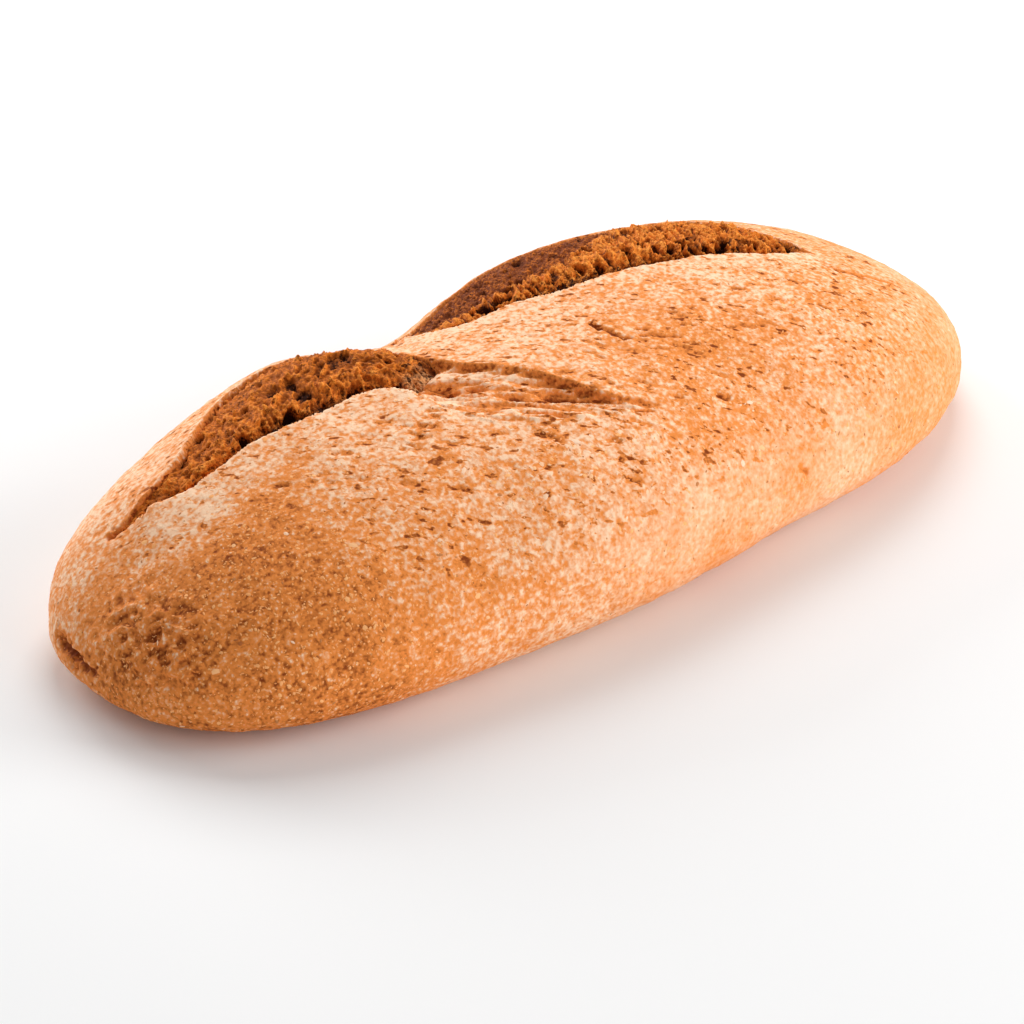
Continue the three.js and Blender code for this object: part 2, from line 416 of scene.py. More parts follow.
class Wire:
    """A node's output. Python's operators on it add Math nodes."""

    def __init__(self, shader, socket):
        self.shader = shader
        self.socket = socket

    def _math(self, operation, *values):
        return self.shader.node("Math", {"operation": operation}, dict(enumerate(values)))

    def __add__(self, other):
        return self._math("ADD", self, other)

    def __sub__(self, other):
        return self._math("SUBTRACT", self, other)

    def __rsub__(self, other):
        return self._math("SUBTRACT", other, self)

    def __mul__(self, other):
        return self._math("MULTIPLY", self, other)

    __radd__ = __add__
    __rmul__ = __mul__

    def step(self, low, high):
        """0 below low, 1 above high, soft between them."""
        settings = {"interpolation_type": "SMOOTHSTEP"}
        return self.shader.node("MapRange", settings, {"Value": self, "From Min": low, "From Max": high})


class Shader:
    """The nodes of one material around its Principled shader."""

    def __init__(self, name):
        self.material = bpy.data.materials.new(name)
        self.material.use_nodes = True
        self.tree = self.material.node_tree
        self.surface = self.tree.nodes["Principled BSDF"]
        self.place = self.node("TexCoord", {}, {}, "Object")

    def node(self, kind, settings, inputs, output=0):
        made = self.tree.nodes.new("ShaderNode" + kind)
        for setting, value in settings.items():
            setattr(made, setting, value)
        for name, value in inputs.items():
            self._feed(made.inputs[name], value)
        return Wire(self, made.outputs[output])

    def _feed(self, socket, value):
        if isinstance(value, Wire):
            self.tree.links.new(value.socket, socket)
        elif socket.type == "RGBA":
            socket.default_value = (*value, 1)
        else:
            socket.default_value = value

    def feed(self, **inputs):
        """Feeds the Principled shader: base_color stands for its Base Color, and so on."""
        for name, value in inputs.items():
            self._feed(self.surface.inputs[name.replace("_", " ").title()], value)

    def shine(self, share):
        """How strongly the surface mirrors, as the shader counts it. 0.5 is common."""
        self.surface.inputs["Specular IOR Level"].default_value = share

    def mix(self, low, high, share):
        """Colour low where share is 0, high where it is 1."""
        return self.node("Mix", {"data_type": "RGBA"}, {0: share, 6: low, 7: high}, 2)

    def attribute(self, name):
        return self.node("Attribute", {"attribute_name": name}, {}, "Fac")

    def along_strands(self, length, width):
        """Object coordinates turned along the torn strands, counted in lengths and widths."""
        turned = self.node("Mapping", {}, {"Vector": self.place, "Rotation": (0, 0, STRAND_TURN)})
        counts = (1 / length, 1 / width, 1 / width)
        return self.node("VectorMath", {"operation": "MULTIPLY"}, {0: turned, 1: counts})

    def warped(self, reach, spacing):
        """Object coordinates pushed about by noise, up to reach, in waves of spacing."""
        inputs = {"Vector": self.place, "Scale": 1 / spacing, "Detail": 1.0}
        waves = self.node("TexNoise", {}, inputs, "Color")
        centred = self.node("VectorMath", {"operation": "SUBTRACT"}, {0: waves, 1: (0.5, 0.5, 0.5)})
        push = self.node("VectorMath", {"operation": "SCALE"}, {0: centred, "Scale": 2 * reach})
        return self.node("VectorMath", {"operation": "ADD"}, {0: self.place, 1: push})

    def clouds(self, spacing, detail, roughness, place=None):
        inputs = {
            "Vector": place or self.place,
            "Scale": 1 / spacing,
            "Detail": detail,
            "Roughness": roughness,
        }
        return self.node("TexNoise", {}, inputs, "Fac")

    def grains(self, spacing, place, output):
        return self.node("TexVoronoi", {}, {"Vector": place, "Scale": 1 / spacing}, output)

    def bump(self, height, distance, strength):
        inputs = {"Height": height, "Distance": distance, "Strength": strength}
        return self.node("Bump", {}, inputs, "Normal")


def colour_between(low, high, share):
    return tuple(blend(a, b, share) for a, b in zip(low, high))


# ---- settings -------------------------------------------------------------------------------


def size(name, description, default):
    return bpy.props.FloatProperty(
        name=name, description=description, default=default, min=0, subtype="DISTANCE", unit="LENGTH"
    )


def colour(name, description, default):
    return bpy.props.FloatVectorProperty(
        name=name, description=description, default=default, size=3, min=0, max=1, subtype="COLOR"
    )


def number(name, description, default):
    return bpy.props.IntProperty(name=name, description=description, default=default, min=0)


def strength(name, description, default):
    return bpy.props.FloatProperty(
        name=name, description=description, default=default, min=0, unit="POWER"
    )


class CrustSettings(bpy.types.PropertyGroup):
    length: size("Length", "Length of the loaf", 280 * MM)
    width: size("Width", "Width of the loaf", 124 * MM)
    crust_height: size("Height", "Height of the crust, without what the slashes push up", 52 * MM)
    widest_height: size("Widest at", "The height at which the loaf is widest", 18 * MM)
    bow: size("Bow", "How far the two ends swing to the back", 5 * MM)
    face: size("Face", "Longest edge of a face on the open crust", 1.7 * MM)
    pale: colour("Pale", "Floury crust", (1.0, 0.67, 0.44))
    baked: colour("Baked", "Golden crust", (0.84, 0.262, 0.052))
    # Deep is the most browned crust; in cracks, tears, pits, the trench and between wrinkles it also
    # stands for painted shade.
    deep: colour("Deep", "Crust in cracks and where it browned most", (0.24, 0.045, 0.006))


class CrumbSettings(bpy.types.PropertyGroup):
    pocket: size("Pocket", "Width of the larger pockets in the torn wall", 6 * MM)
    pocket_depth: size("Pocket depth", "Depth of the larger pockets", 4 * MM)
    # Golden and Crest brighten ridges and crests by their height: the crumb's golden colour with painted
    # highlight, Crest the brightest.
    golden: colour("Golden", "Thin ridges between the pockets", (0.81, 0.212, 0.021))
    crest: colour("Crest", "The finest ridges", (1.0, 0.385, 0.065))
    toasted: colour("Toasted", "Torn crumb that stood in the heat", (0.19, 0.038, 0.006))
    # Dark is painted shade in pockets, small holes and the groove, with the crumb's own darkest brown.
    dark: colour("Dark", "Inside the pockets", (0.035, 0.006, 0.001))
    flush: colour("Flush", "Torn crumb that browned little", (0.94, 0.50, 0.23))


class BranSettings(bpy.types.PropertyGroup):
    pale_count: number("Pale flakes", "Pale bran flakes on the crust", 9000)
    dark_count: number("Dark flakes", "Dark bran flakes on the crust", 1400)
    flour_count: number("Flour flakes", "Flakes of dried flour on the crust", 400)
    length: size("Length", "Length of a common bran flake", 0.6 * MM)
    flour_length: size("Flour length", "Length of a common flake of flour", 1.2 * MM)
    thickness: size("Thickness", "Thickness of a flake", 0.12 * MM)
    pale: colour("Pale", "Pale bran", (1.0, 0.5, 0.2))
    dark: colour("Dark", "Dark bran", (0.42, 0.12, 0.03))
    flour: colour("Flour", "Dried flour", (0.98, 0.68, 0.48))


class StageSettings(bpy.types.PropertyGroup):
    floor: colour("Floor", "The floor", (0.9, 0.9, 0.9))
    sky: bpy.props.FloatProperty(
        name="Surroundings", description="Strength of the white surroundings", default=0.33, min=0
    )
    right: strength("Right", "Power of the low light at the camera's right", 8.9)
    front: strength("Front", "Power of the low light beside the camera", 3.3)
    behind: strength("Behind", "Power of the high light behind the loaf", 8.1)
    rim: strength("Rim", "Power of the low light behind the loaf, at the left", 8.8)


# ---- crust ----------------------------------------------------------------------------------

STRANDS = unit(np.array([[40.0, -38.0]]))[0]  # the way the torn strands run, in the plan
ACROSS_STRANDS = np.array([-STRANDS[1], STRANDS[0]])
STRAND_TURN = math.atan2(-STRANDS[1], STRANDS[0])

FACE_AT_LIP = 0.7 * MM
FACE_AT_MARK = 0.65 * MM
FACE_AT_WRINKLE = 0.9 * MM
FACE_IN_TRENCH = 3 * MM
FACE_LOW_DOWN = 2.2 * MM
FACE_ON_BASE = 6 * MM
LOW_DOWN = 9 * MM
ON_BASE = 0.01 * MM
MARK_FACES = 2.5  # small faces reach so many half widths from a mark
MARK_MARGIN = 2 * MM  # how far lips and swellings may move a mark away from the smooth crust
LIP_BAND = 2.2 * MM
LIP_OVERHANG = 1.1 * MM
LIP_DROP = 1.0 * MM
SLOPE_DROP = 3 * MM
BACK_DROP = 1.6 * MM
FLUSH_LIP = 0.4  # how high the back lip is where the slash is flush, as a share
LEAN_GROWS = 2.5 * MM  # the lip leans over the slash in this reach in front of its edge
LEAN_ENDS = 0.8 * MM  # and no longer so far behind it
TRENCH_WALL = (-0.2 * MM, 0.6 * MM)  # where behind an edge the crust stops being whole
LEAST_OPENING = 1 * MM
CUT_FROM = (0.1, 0.7)  # how torn the crumb is where the crust is cut open
# The front and back edges are ragged: length of the waves and how far they reach.
RAGGED_EDGE = [(5 * MM, 0.5 * MM), (1.7 * MM, 0.35 * MM)]
RAGGED_STRETCH = 0.3
# Lumps all over the crust: length of the waves, how far they stand out, and their draw.
LUMPS = [(13 * MM, 0.35 * MM, 3.1), (3.2 * MM, 0.14 * MM, 7.7)]
LUMPS_FADE = 1.5 * MM  # they fade out below this height

# The patch of wrinkles, where the near end was folded under: its middle and reach along the loaf,
# and where it fades in and out sideways and in height.
WRINKLES_AT = -128 * MM
WRINKLES_REACH = 14 * MM
WRINKLES_SIDEWAYS = (-30 * MM, -14 * MM), (0, 12 * MM)
WRINKLES_UP = (10 * MM, 18 * MM), (26 * MM, 34 * MM)
WRINKLE_SPACING = (4.5 * MM, 3.5 * MM, 2.6 * MM)
WRINKLE_HEIGHT = 1.1 * MM

# Where the top of the crust tore in many short tears: place in the plan, reach, number.
TORN_FIELDS = [
    (-48, -14, (14, 7), 30),
    (-22, -34, (12, 6), 22),
    (12, -8, (12, 9), 26),
    (45, -22, (18, 7), 24),
    (-80, -6, (9, 4), 8),
]
TEARS_FROM = 24 * MM  # they lie above this height
TEAR_SPREAD = 0.22  # how much they stray from the way of the strands
TEAR_LENGTHS = (1.5, 4.5)  # least and greatest, in millimetres, as are the next two
TEAR_HALF_WIDTHS = (0.3, 0.5)
TEAR_DEPTHS = (0.35, 0.75)
MARK_WAVE = 1.6 * MM  # the edges of marks and tears are ragged in such waves
MARK_RAGGED = 0.8

# Small marks in the crust, from one point to another: half width, depth. Millimetres.
MARKS = [
    ((-118.3, 22.9, 31.5), (-111.5, 19.4, 37.5), 0.9, 2.4),
    ((-137.5, 21, 12.5), (-139.5, 13, 11.5), 1.5, 2.2),
    ((-139.5, 13, 11.5), (-141, 4, 11.5), 1.3, 1.8),
    ((-133, -14.2, 22), (-132.6, -15, 21), 0.6, 1.5),
    ((-131.8, -22, 20), (-131.2, -23.5, 19.5), 0.5, 0.6),
    ((10.6, -6.8, 52), (12.5, -16.5, 51), 0.6, 1.0),
    ((17.2, -17.7, 50.7), (25.4, -23.5, 49.3), 0.5, 0.6),
    ((19, -42.5, 42.8), (20.5, -44.2, 41.8), 0.8, 1.0),
    ((7.5, -39, 45.2), (8.8, -40, 44.8), 0.5, 0.6),
    ((90.5, -13.6, 43.6), (97.6, -20.9, 40), 0.6, 0.9),
    ((98.9, -19.6, 39.9), (107.1, -22.9, 35.8), 0.5, 0.7),
    ((31.4, -59.3, 24), (32.9, -60.2, 22.3), 0.6, 0.6),
]
# Creases, in the same form. They stand up instead of cutting in.
CREASES = [
    ((-133, -14.5, 21.5), (-137.5, -12.8, 16.1), 0.7, 0.6),
    ((-132.8, -15, 21.5), (-130.5, -27, 16.5), 0.7, 0.6),
]

# The height across the flush part of a slash. Millimetres.
FLUSH_PROFILE = [-0.1, -0.3, -0.6, -0.9, -1.1, -1.2, -1.4, -1.3, -0.3]
FLUSH_STRAND = (14 * MM, 2.6 * MM, 1 * MM)  # length, width and height of a strand's noise
STRAND_HEIGHT = 0.6 * MM
# Deep pits in the flush part of the near slash: place in the plan, two half widths, depth.
# Millimetres.
PITS = [
    ((-37, -6), 4.5, 2.6, 3.6),
    ((-31, -11), 2.6, 1.7, 2.4),
    ((-18, -26), 6.5, 2.2, 2.8),
    ((-9, -24), 4.0, 1.3, 1.4),
    ((-27, -20), 3.5, 1.4, 1.8),
    ((-3, -33), 4.0, 1.1, 1.5),
    ((7, -38), 3.0, 1.0, 1.2),
]


def sharp_ridges(where, spacing, draw):
    return np.clip(1 - 3 * np.abs(sampled(where, spacing, draw, 2)), -1, 1)


def flush_relief(plan):
    """The strands and pits of the torn part that lies flush with the crust: how far they stand
    out, how high on a strand and how deep in a pit each place is."""
    streak = np.stack([plan @ STRANDS, plan @ ACROSS_STRANDS, np.zeros(len(plan))], 1)
    strand = sharp_ridges(streak, FLUSH_STRAND, 4.4)
    out = STRAND_HEIGHT * strand
    in_pit = np.zeros(len(plan))
    for centre, long_reach, short_reach, depth in PITS:
        offset = plan - np.array(centre) * MM
        along = offset @ STRANDS / (long_reach * MM)
        across = offset @ ACROSS_STRANDS / (short_reach * MM)
        pit = np.exp(-(along**2 + across**2))
        out -= depth * MM * pit
        in_pit = np.maximum(in_pit, pit)
    return out, strand, in_pit


def scattered_tears():
    """Short tears in the top of the crust, along the strands, in the form of marks in the plan."""
    draw = np.random.default_rng(4)
    found = []
    for x, y, reach, count in TORN_FIELDS:
        for _ in range(count):
            start = np.array((x, y)) + draw.normal(0, 1, 2) * reach
            way = STRANDS + ACROSS_STRANDS * draw.normal(0, TEAR_SPREAD)
            end = start + way * draw.uniform(*TEAR_LENGTHS)
            half_width, depth = draw.uniform(*TEAR_HALF_WIDTHS), draw.uniform(*TEAR_DEPTHS)
            found.append((start, end, half_width, depth))
    return found


TEARS = scattered_tears()


def distance_to_line(points, line):
    """The distance of points from a straight line between two points of space or of the plan."""
    start, end = (np.array(p) * MM for p in line)
    run = end - start
    points = points[:, : len(run)]
    share = np.clip((points - start) @ run / (run @ run), 0, 1)
    return np.linalg.norm(points - start - np.outer(share, run), axis=1)


def marks_at(points, marks):
    """How far marks cut in at points, and how near a mark they are, from 0 to 1."""
    cut = np.zeros(len(points))
    near = np.zeros(len(points))
    ragged = 1 + MARK_RAGGED * sampled(points, MARK_WAVE, 6.1)
    for start, end, half_width, depth in marks:
        away = distance_to_line(points, (start, end)) * ragged
        closeness = np.exp(-((away / (half_width * MM)) ** 2))
        cut += depth * MM * closeness
        near = np.maximum(near, closeness * min(depth, 1))
    return np.stack([cut, near])


def opening(slash, points):
    """How far the crust stands up round a slash, how far it leans over it, how open it is, and
    how much of it is torn but flush."""
    place = slash.place(points[:, :2])
    streak = np.stack([place.along, place.behind * RAGGED_STRETCH, np.zeros(len(points))], 1)
    behind = place.behind
    for wave, reach in RAGGED_EDGE:
        behind = behind + reach * sampled(streak, wave)
    fade = np.exp(-place.past / LIP_REACH)
    lip = slash.lip_rise * place.torn * place.depth * np.exp(np.minimum(behind, 0) / LIP_REACH) * fade
    past_back = np.maximum(behind - place.width, 0)
    back = BACK_LIP_RISE * place.depth * np.exp(-past_back / BACK_LIP_REACH) * fade
    back *= blend(FLUSH_LIP, 1, place.torn)
    profile = curve_through(FLUSH_PROFILE, share_across(behind, place.width)) * MM
    cut = smooth(place.torn, *CUT_FROM)
    floor = blend(profile, -TRENCH, cut) * place.depth
    from_front = smooth(behind, 0, blend(SLOPE_DROP, LIP_DROP, place.torn))
    from_back = smooth(place.width - behind, 0, BACK_DROP)
    up = blend(lip, blend(back, floor, from_back), from_front)
    shift = np.where(behind < 0, np.exp(behind / LEAN_GROWS), 1 - smooth(behind, 0, LEAN_ENDS))
    lean = LIP_OVERHANG * place.torn * place.depth * shift * fade
    on_top = smooth(points[:, 2], SLASH_FROM, SLASH_FROM + SLASH_FADE)
    is_open = smooth(behind, *TRENCH_WALL) * smooth(place.width - behind, *TRENCH_WALL)
    is_open *= smooth(place.width, 0, LEAST_OPENING) * (place.past == 0) * on_top
    flush = is_open * (1 - cut) * (slash.crumb_end < 1)
    if slash.crumb_end < 1:
        up += flush * flush_relief(points[:, :2])[0]
    return up * on_top, lean * on_top, is_open, flush


def opened(points):
    """For both slashes and the swellings together: how far the crust stands out, how far it leans
    sideways, how open it is, and how much of it is torn but flush."""
    rise = swell(points)
    lean = np.zeros_like(points)
    is_open = np.zeros(len(points))
    flush = np.zeros(len(points))
    for slash in SLASHES:
        up, over, this_open, this_flush = opening(slash, points)
        rise += up
        lean[:, :2] += np.outer(over, slash.back)
        is_open = np.maximum(is_open, this_open)
        flush = np.maximum(flush, this_flush)
    return rise, lean, is_open, flush


def wrinkled(points):
    """How much the crust is wrinkled."""
    here = np.exp(-(((points[:, 0] - WRINKLES_AT) / WRINKLES_REACH) ** 2))
    return here * band(points[:, 1], *WRINKLES_SIDEWAYS) * band(points[:, 2], *WRINKLES_UP)


def wrinkles(points):
    """How far short raised wrinkles stand out, in wrinkle heights."""
    folds = 1 - 3 * np.abs(sampled(points, WRINKLE_SPACING, 21.3))
    return wrinkled(points) * np.clip(folds, -0.3, 1)


def crust_face_limit(face):
    """The longest edge that a face of the crust may have at points."""

    def limit(points):
        longest = np.where(points[:, 2] < LOW_DOWN, FACE_LOW_DOWN, face)
        longest = np.where(wrinkled(points) > 0.3, FACE_AT_WRINKLE, longest)
        top = points[:, 2] > SLASH_FROM
        for slash in SLASHES:
            place = slash.place(points[:, :2])
            inside = (place.behind > LIP_BAND) & (place.width - place.behind > LIP_BAND)
            in_slash = np.where(place.torn > 0.5, FACE_IN_TRENCH, FACE_AT_LIP)
            longest = np.where(top & inside & (place.past == 0), in_slash, longest)
            to_lip = np.minimum(np.abs(place.behind), np.abs(place.width - place.behind)) + place.past
            at_lip = top & (to_lip < LIP_BAND)
            longest = np.where(at_lip, np.minimum(longest, FACE_AT_LIP), longest)
        for start, end, half_width, _ in MARKS + CREASES + TEARS:
            in_space = len(start) == 3
            reach = MARK_FACES * half_width * MM + in_space * MARK_MARGIN
            near = (distance_to_line(points, (start, end)) < reach) & (top | in_space)
            longest = np.where(near, np.minimum(longest, FACE_AT_MARK), longest)
        return np.where(points[:, 2] < ON_BASE, FACE_ON_BASE, longest)

    return limit


def crust_material(settings):
    shader = Shader("baked crust")
    names = "flour", "bake", "crack", "tears", "grainy"
    flour, bake, crack, tears, grainy = (shader.attribute(name) for name in names)
    wisps = shader.clouds(1, 2.0, 0.5, shader.along_strands(3.4 * MM, 1.7 * MM))
    wandering = shader.warped(0.5 * MM, 2.2 * MM)
    fine = shader.clouds(1.4 * MM, 1.5, 0.5)
    flecks = shader.grains(0.7 * MM, wandering, "Color")
    fleck = shader.node("SeparateColor", {}, {"Color": flecks}, "Red")
    seeds = (0.4 - shader.grains(1.2 * MM, wandering, "Distance")).step(0, 0.25)
    patches = shader.clouds(7 * MM, 4.0, 0.65)
    torn = (0.39 - wisps - (patches - 0.5) * 0.5).step(0, 0.1) * tears
    grain = (fine - 0.5) * 1.35 + (fleck - 0.5) * 0.24 + (patches - 0.5) * 0.65
    # The recess shade is painted shade: it darkens the crust in cracks, tears, pits, the open trench and
    # between wrinkles.
    tone = flour - bake + grain * grainy - torn * 0.7 + seeds * bake * 0.75 - crack * 0.95
    base = shader.mix(settings.deep, settings.baked, tone.step(-0.3, 0.47))
    base = shader.mix(base, settings.pale, tone.step(0.42, 1.05))
    height = fine * 0.9 + fleck * 0.15 + seeds * 0.3 - torn * 0.8
    shader.feed(base_color=base, roughness=0.8, normal=shader.bump(height, 0.6 * MM, 0.35))
    shader.shine(0.12)
    return shader.material


# Where the crust is paler or browner than elsewhere: place in the plan, reach along and across,
# and how much. Millimetres.
PALE_SPOTS = [
    ((-12, 20), (20, 22), 0.15),
    ((-100, 45), (45, 16), 0.1),
    ((-50, -10), (34, 10), 0.12),
    ((-30, -52), (22, 10), 0.1),
    ((40, -62), (30, 8), 0.05),
    ((60, -38), (12, 8), 0.08),
    ((-105, 4), (16, 7), 0.14),
    ((-88, -12), (14, 7), 0.08),
    ((4, -3), (12, 8), 0.1),
]
BROWN_SPOTS = [
    ((30, -28), (18, 12), 0.2),
    ((8, -47), (12, 8), 0.08),
    ((-78, -58), (14, 10), 0.08),
    ((-137, 16), (10, 14), 0.1),
    ((-134, 8), (12, 12), 0.12),
    ((-126, 4), (9, 8), 0.12),
    ((-70, -56), (20, 6), 0.05),
]

# Where along the loaf, below the front lip and in height the crust's tone changes.
BROWNED_AND_SHADED_END = (74 * MM, 104 * MM)  # the near end is browner, partly painted shade on its steep front below the shoulder, so far from the middle
BAKED_TIP = (112 * MM, 138 * MM)  # and a little less so at its very tip
BELOW_LIP = (5 * MM, 18 * MM)  # and it stays so far in front of the near slash, at this place
BELOW_LIP_FROM = -85 * MM
BELOW_LIP_SLOPE = 0.3  # farther than that towards the near end, less towards the middle
LIP_FLOUR_REACH = 7 * MM
TIP_FLOUR_REACH = 10 * MM
TORN_TOP = (TEARS_FROM, 38 * MM)
PLAIN_ALONG = (-60 * MM, -10 * MM)  # the grain is weak low down beyond here
PLAIN_UP = (26 * MM, 46 * MM)
UNEVEN_WAVE = 24 * MM

FLOUR = 0.65  # how floury the crust is where nothing changes it
LIP_FLOUR = 0.14  # how much more it is so at the front lips
# How much browner the near end is: real browning, and painted shade on its steep front below the
# shoulder.
END_BROWNING_AND_SHADE = 0.41
SCARP_BAKE = 0.42
UNEVENNESS = 0.1
PLAINNESS = 0.6
WRINKLE_SHADE = 0.3  # how much painted shade darkens the crust between wrinkles
WRINKLE_FLOUR = 0.2  # and how floury on them
STRAND_FLOUR = 0.3
FLUSH_FLOUR = -0.06
# Painted shade on the crust inside the open trench, under the crumb's edges.
TRENCH_SHADE = 0.7


def spotted(points, spots):
    total = np.zeros(len(points))
    for centre, reach, amount in spots:
        away = (points[:, :2] / MM - centre) / reach
        total += amount * np.exp(-(away**2).sum(1))
    return total


def browning(points, crust):
    """How floury and how deeply baked the crust is at points, with painted shade on the steep front of
    the near end, how much it is torn in many small tears and how grainy it is."""
    near = SLASHES[0].place(points[:, :2] + crust.middle[:2])
    # The near end's steep front below the shoulder is browner: real browning with painted shade where it
    # turns from the light.
    below_lip = smooth(-near.behind + BELOW_LIP_SLOPE * (points[:, 0] - BELOW_LIP_FROM), *BELOW_LIP)
    tip = smooth(-points[:, 0], *BAKED_TIP)
    browned_and_shaded_end = smooth(-points[:, 0], *BROWNED_AND_SHADED_END) * below_lip * (1 - 0.15 * tip)
    at_lip = np.zeros(len(points))
    for slash in SLASHES:
        place = slash.place(points[:, :2] + crust.middle[:2])
        in_front = np.exp(-np.maximum(-place.behind, 0) / LIP_FLOUR_REACH) * (place.behind < 1 * MM)
        at_lip = np.maximum(at_lip, in_front * place.depth * np.exp(-place.past / TIP_FLOUR_REACH))
    uneven = UNEVENNESS * sampled(points, UNEVEN_WAVE, 5.5, 2)
    flour = FLOUR + LIP_FLOUR * at_lip + spotted(points, PALE_SPOTS) + uneven
    bake = END_BROWNING_AND_SHADE * browned_and_shaded_end + spotted(points, BROWN_SPOTS)
    tears = smooth(points[:, 2], *TORN_TOP) * (1 - browned_and_shaded_end)
    low_right = smooth(points[:, 0], *PLAIN_ALONG) * (1 - smooth(points[:, 2], *PLAIN_UP))
    return flour, bake, tears, 1 - PLAINNESS * low_right + 0.1 * browned_and_shaded_end


class BATARD_OT_crust(bpy.types.Operator):
    """Make the crust, with its lips, its open slashes and its small marks"""

    bl_idname = "batard.crust"
    bl_label = "Crust"

    def execute(self, context):
        settings = context.scene.batard_crust
        crust = Crust(settings)
        bm = bmesh.new()
        bmesh.ops.create_icosphere(bm, subdivisions=5, radius=1)
        move_corners(bm, unit(corners_of(bm)))
        refine(bm, crust.points, crust_face_limit(settings.face))
        directions = corners_of(bm)
        uncut = crust.points(directions)
        normals = crust.normals(directions)
        rise, lean, is_open, flush = opened(uncut)
        placed = uncut + normals * rise[:, None] + lean
        placed[:, 2] = np.maximum(placed[:, 2], 0)
        placed -= crust.middle
        lumps = sum(height * sampled(placed, wave, draw, 3) for wave, height, draw in LUMPS)
        # How near a corner is to a mark or tear, weighted by its depth, becomes painted shade in it.
        cut, near = marks_at(placed, MARKS)
        tear_cut, near_tear = marks_at(placed, TEARS) * (placed[:, 2] > TEARS_FROM)
        cut += tear_cut * (1 - is_open)
        near = np.maximum(near, near_tear * (1 - is_open))
        stand, _ = marks_at(placed, CREASES)
        folds = wrinkles(placed)
        small = (lumps - cut + stand + WRINKLE_HEIGHT * folds) * smooth(uncut[:, 2], 0, LUMPS_FADE)
        placed += normals * small[:, None]
        placed[:, 2] = np.where(uncut[:, 2] <= 0, 0, np.maximum(placed[:, 2], 0))
        move_corners(bm, placed)
        bmesh.ops.recalc_face_normals(bm, faces=bm.faces)
        flour, bake, tears, grainy = browning(placed, crust)
        _, strand, in_pit = flush_relief(uncut[:, :2])
        flour += WRINKLE_FLOUR * smooth(folds, 0.3, 0.8)
        flour += flush * (STRAND_FLOUR * strand + FLUSH_FLOUR)
        bake += SCARP_BAKE * smooth(SLASHES[0].scarp(uncut[:, :2]), 0, 1)
        # Painted shade between wrinkles, in the flush part's pits and in the open trench.
        near = np.maximum(near, WRINKLE_SHADE * smooth(-folds, 0, 0.25))
        near = np.maximum(near, flush * in_pit + TRENCH_SHADE * (is_open - flush))
        values = {"flour": flour, "bake": bake, "tears": tears, "grainy": grainy, "crack": near}
        material = crust_material(settings)
        piece = add_piece("crust", mesh_of("crust", bm), material, **values, open=is_open)
        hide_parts("loaf")
        return {"FINISHED"}


# ---- torn crumb -----------------------------------------------------------------------------

GRID_ALONG = 54
GRID_ACROSS = 14
GRID_CUTS = 7
TUCK = 1.6 * MM  # how far torn crumb reaches under the crust on both sides
TIP_SINK = 0.8 * MM  # how far it lies below the crust at the tips
END_DIVE = 3.5 * MM  # how far its end dives under the crust where nothing is torn
CRUMB_BODY = 12 * MM  # how deep its underside lies
# The crumb's height across a slash: down to -1 in the groove, up to 1 at the crest.
TORN_PROFILE = [-1, -0.85, -0.35, 0.28, 0.5, 0.85, 1, 0.8, 0.05]

WANDER_WAVE = 4 * MM  # pockets and fibres wander in such waves
WANDER_REACH = 1.2 * MM  # and so far
POCKET_FORM = np.array([0.8, 1.1, 1.3])  # along, across and up, in pocket widths
SMALL_POCKET = 0.38  # width of a small pocket, in pocket widths
SMALL_DEPTH = 0.9 * MM
RIM_HEIGHT = 0.3 * MM  # of the ridge between two pockets
SMALL_RIM_HEIGHT = 0.15 * MM
FIBRE = (2.5 * MM, 14 * MM, 14 * MM)  # spacing along a slash, and length
FIBRE_HEIGHT = 0.45 * MM
THREAD = (1.1 * MM, 4 * MM, 4 * MM)
THREAD_HEIGHT = (0.22 * MM, 0.3 * MM)  # off the torn wall and on it
GRAIN = 0.9 * MM
GRAIN_HEIGHT = 0.3 * MM
LUMP = 3.5 * MM
LUMP_HEIGHT = 0.45 * MM
POCKET_SHADE_DEPTH = (0.2 * MM, 1.9 * MM)  # between these depths hollows darken: painted shade, with the crumb's darker colour in its pockets
RIDGE_HIGHLIGHT = (-0.6 * MM, 0.8 * MM)  # between these heights ridges turn golden: the crumb's golden colour with painted highlight
GROOVE_SHADE_HEIGHTS = (-4.5 * MM, 0.3 * MM)  # between these heights the painted shade in the groove behind the front lip fades out


def crumb_base(crust, slash, corners):
    """Puts a block's corners, given from 0 to 1 along, across and up, into a slash, with the
    crumb's smooth profile on top. Gives their places, where they lie in the slash and how high."""
    share = corners[:, 0] * slash.crumb_end
    front, width = slash.edges(share)
    behind = blend(-TUCK, width + TUCK, corners[:, 1])
    plan = slash.plan_at(share, front + behind)
    place = slash.describe(share * slash.length, share, np.zeros(len(share)), behind, width)
    crest = slash.crest * smooth(share, *slash.crest_grows)
    shape = curve_through(TORN_PROFILE, place.across)
    torn = np.where(shape < 0, shape * slash.groove, shape * crest)
    flush = curve_through(FLUSH_PROFILE, place.across) * MM
    height = blend(flush, torn, place.torn) * place.depth - TIP_SINK * (1 - place.depth)
    height -= END_DIVE * (1 - smooth(place.torn, 0.05, 0.5))
    height -= np.clip(np.maximum(-behind, behind - width), 0, TUCK)
    surface = np.concatenate([plan, crust.crown(plan)[:, None]], 1)
    normals = crust.crown_normals(plan)
    out = swell(surface) + blend(-CRUMB_BODY, height, corners[:, 2])
    return surface + normals * out[:, None], place, height


def bowls(where, spacing, draw, width):
    """Round hollows among scattered seeds, from 0 to 1, with the thin ridges between them and a
    number from 0 to 1 for each."""
    near, edge, luck = cells(where, spacing, draw)
    return np.clip(1 - (near / width) ** 2, 0, 1), np.exp(-((edge / 0.09) ** 2)), luck


